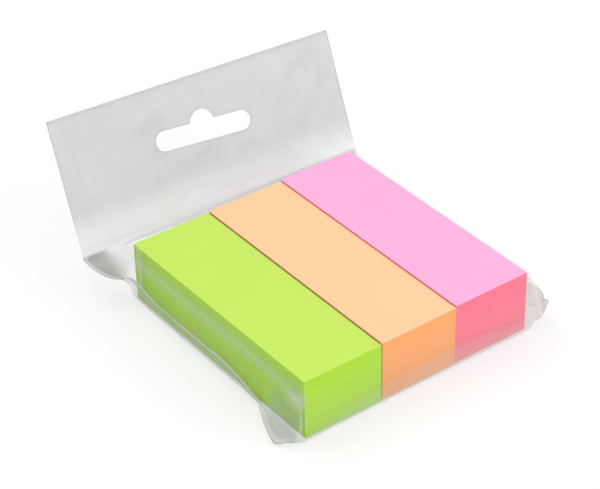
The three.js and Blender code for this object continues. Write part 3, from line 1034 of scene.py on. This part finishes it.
def floor_material():
    """A white floor that keeps the object's soft shadow."""
    material = bpy.data.materials.new("white_floor")
    material.use_nodes = True
    tree = material.node_tree
    tree.nodes.clear()
    place = add_node(tree, "ShaderNodeTexCoord", (-600, 560))
    distance = add_node(tree, "ShaderNodeVectorMath", (-400, 560), operation="LENGTH")
    link(tree, place.outputs["Object"], distance.inputs[0])
    spread = add_node(tree, "ShaderNodeMapRange", (-200, 560), interpolation_type="SMOOTHSTEP")
    (near, far), (weak, strong) = GLOW_DISTANCES, GLOW_STRENGTHS
    set_inputs(spread, From_Min=near, From_Max=far, To_Min=weak, To_Max=strong)
    link(tree, distance.outputs["Value"], spread.inputs["Value"])
    glow = add_node(tree, "ShaderNodeEmission", (0, 260))
    link(tree, spread.outputs["Result"], glow.inputs["Strength"])
    shown = add_node(tree, "ShaderNodeAddShader", (200, 180))
    link(tree, diffuse(tree, SEEN_FLOOR_COLOUR, (0, 100)), shown.inputs[0])
    link(tree, glow.outputs["Emission"], shown.inputs[1])
    mix = add_node(tree, "ShaderNodeMixShader", (400, 0))
    link(tree, seen_directly(tree, (-600, 300)), mix.inputs["Fac"])
    link(tree, diffuse(tree, FLOOR_COLOUR, (0, -160)), mix.inputs[1])
    link(tree, shown.outputs["Shader"], mix.inputs[2])
    result = add_node(tree, "ShaderNodeOutputMaterial", (600, 0))
    link(tree, mix.outputs["Shader"], result.inputs["Surface"])
    return material


def white_world(strength):
    """Even light all round, which looks plain white."""
    world = bpy.data.worlds.new("white_surround")
    world.use_nodes = True
    tree = world.node_tree
    background = tree.nodes["Background"]
    background.inputs["Color"].default_value = (1.0, 1.0, 1.0, 1.0)
    level = remap(tree, seen_directly(tree, (-800, 0)), (strength, 1.0), (-200, 0))
    link(tree, level, background.inputs["Strength"])
    bpy.context.scene.world = world


def photo_camera():
    """The camera that sees the pack as the photograph shows it."""
    data = bpy.data.cameras.new("photo_camera")
    data.sensor_fit = "HORIZONTAL"
    data.sensor_width = SENSOR_WIDTH
    data.lens = VIEW_FOCAL_PIXELS / PICTURE_WIDTH * SENSOR_WIDTH
    data.clip_start, data.clip_end = VIEW_CLIP
    camera = new_object("photo_camera", data)
    back = Vector((
        math.sin(VIEW_AZIMUTH) * math.cos(VIEW_ELEVATION),
        -math.cos(VIEW_AZIMUTH) * math.cos(VIEW_ELEVATION), math.sin(VIEW_ELEVATION)))
    right = (-back).cross(Vector((0, 0, 1))).normalized()
    up = right.cross(-back)
    rolled = right * math.cos(VIEW_ROLL) + up * math.sin(VIEW_ROLL)
    above = up * math.cos(VIEW_ROLL) - right * math.sin(VIEW_ROLL)
    turn = Matrix((rolled, above, back)).transposed().to_4x4()
    camera.matrix_world = Matrix.Translation(VIEW_TARGET + back * VIEW_DISTANCE) @ turn
    bpy.context.scene.camera = camera


class NOTES_OT_make_pads(Operator):
    """Stacks the sheets of the three pads"""

    bl_idname = "notes.make_pads"
    bl_label = "Make the pads"

    def execute(self, context):
        settings = context.scene.note_pads
        tree, sockets = sheet_stack_tree()
        for step, node in enumerate(PAD_NODES):
            colour = node.replace("pad_", "")
            face = tuple(getattr(settings, colour + "_face"))
            edge = tuple(getattr(settings, colour + "_edge"))
            make_pad(node, face, edge, settings, tree, sockets, settings.seed + step)
        return {"FINISHED"}


class NOTES_OT_make_pouch(Operator):
    """Wraps the pads in their clear film pouch and punches its slot"""

    bl_idname = "notes.make_pouch"
    bl_label = "Make the pouch"

    def execute(self, context):
        settings = context.scene.note_pouch
        mesh = film_mesh(settings)
        source = new_object("film_source", mesh)
        mesh.materials.append(film_material(settings))
        wall = source.modifiers.new("wall", "SOLIDIFY")
        wall.thickness = settings.film_thickness
        wall.offset = 0.0
        piece = bake_piece(source, "pouch_film")
        if not piece.data.polygons:
            raise RuntimeError("the pouch came out empty")
        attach(piece, "root")
        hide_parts("film_pouch")
        return {"FINISHED"}


class NOTES_OT_make_stage(Operator):
    """Sets the floor, the lamps, the surround and the camera"""

    bl_idname = "notes.make_stage"
    bl_label = "Make the stage"

    def execute(self, context):
        settings = context.scene.note_stage
        half = settings.floor_size / 2
        corners = [(-half, -half, 0), (half, -half, 0), (half, half, 0), (-half, half, 0)]
        mesh = bpy.data.meshes.new("floor")
        mesh.from_pydata(corners, [], [(0, 1, 2, 3)])
        mesh.materials.append(floor_material())
        new_object("floor", mesh)
        area_lamp("top_lamp", settings.top_power, **TOP_LAMP)
        area_lamp("front_lamp", settings.front_power, **FRONT_LAMP)
        white_world(settings.sky)
        photo_camera()
        context.scene.view_settings.view_transform = "Standard"
        return {"FINISHED"}


class NOTES_PT_pack(Panel):
    """Sizes, colours and steps of the sticky-note pack"""

    bl_idname = "NOTES_PT_pack"
    bl_label = "Sticky-note pack"
    bl_space_type = "VIEW_3D"
    bl_region_type = "UI"
    bl_category = "Notes"

    def draw(self, context):
        scene = context.scene
        for group in (scene.note_pads, scene.note_pouch, scene.note_stage):
            box = self.layout.box()
            for name in group.bl_rna.properties.keys():
                if name not in ("rna_type", "name"):
                    box.prop(group, name)
        for step in STEPS:
            self.layout.operator(step.bl_idname)


STEPS = (NOTES_OT_make_pads, NOTES_OT_make_pouch, NOTES_OT_make_stage)
CLASSES = (PadSettings, PouchSettings, StageSettings, *STEPS, NOTES_PT_pack)


def register():
    for cls in CLASSES:
        bpy.utils.register_class(cls)
    bpy.types.Scene.note_pads = PointerProperty(type=PadSettings)
    bpy.types.Scene.note_pouch = PointerProperty(type=PouchSettings)
    bpy.types.Scene.note_stage = PointerProperty(type=StageSettings)


def unregister():
    del bpy.types.Scene.note_stage
    del bpy.types.Scene.note_pouch
    del bpy.types.Scene.note_pads
    for cls in reversed(CLASSES):
        bpy.utils.unregister_class(cls)


def main():
    register()
    bpy.ops.notes.make_stage()
    bpy.ops.notes.make_pads()
    bpy.ops.notes.make_pouch()


if __name__ == "__main__":
    main()
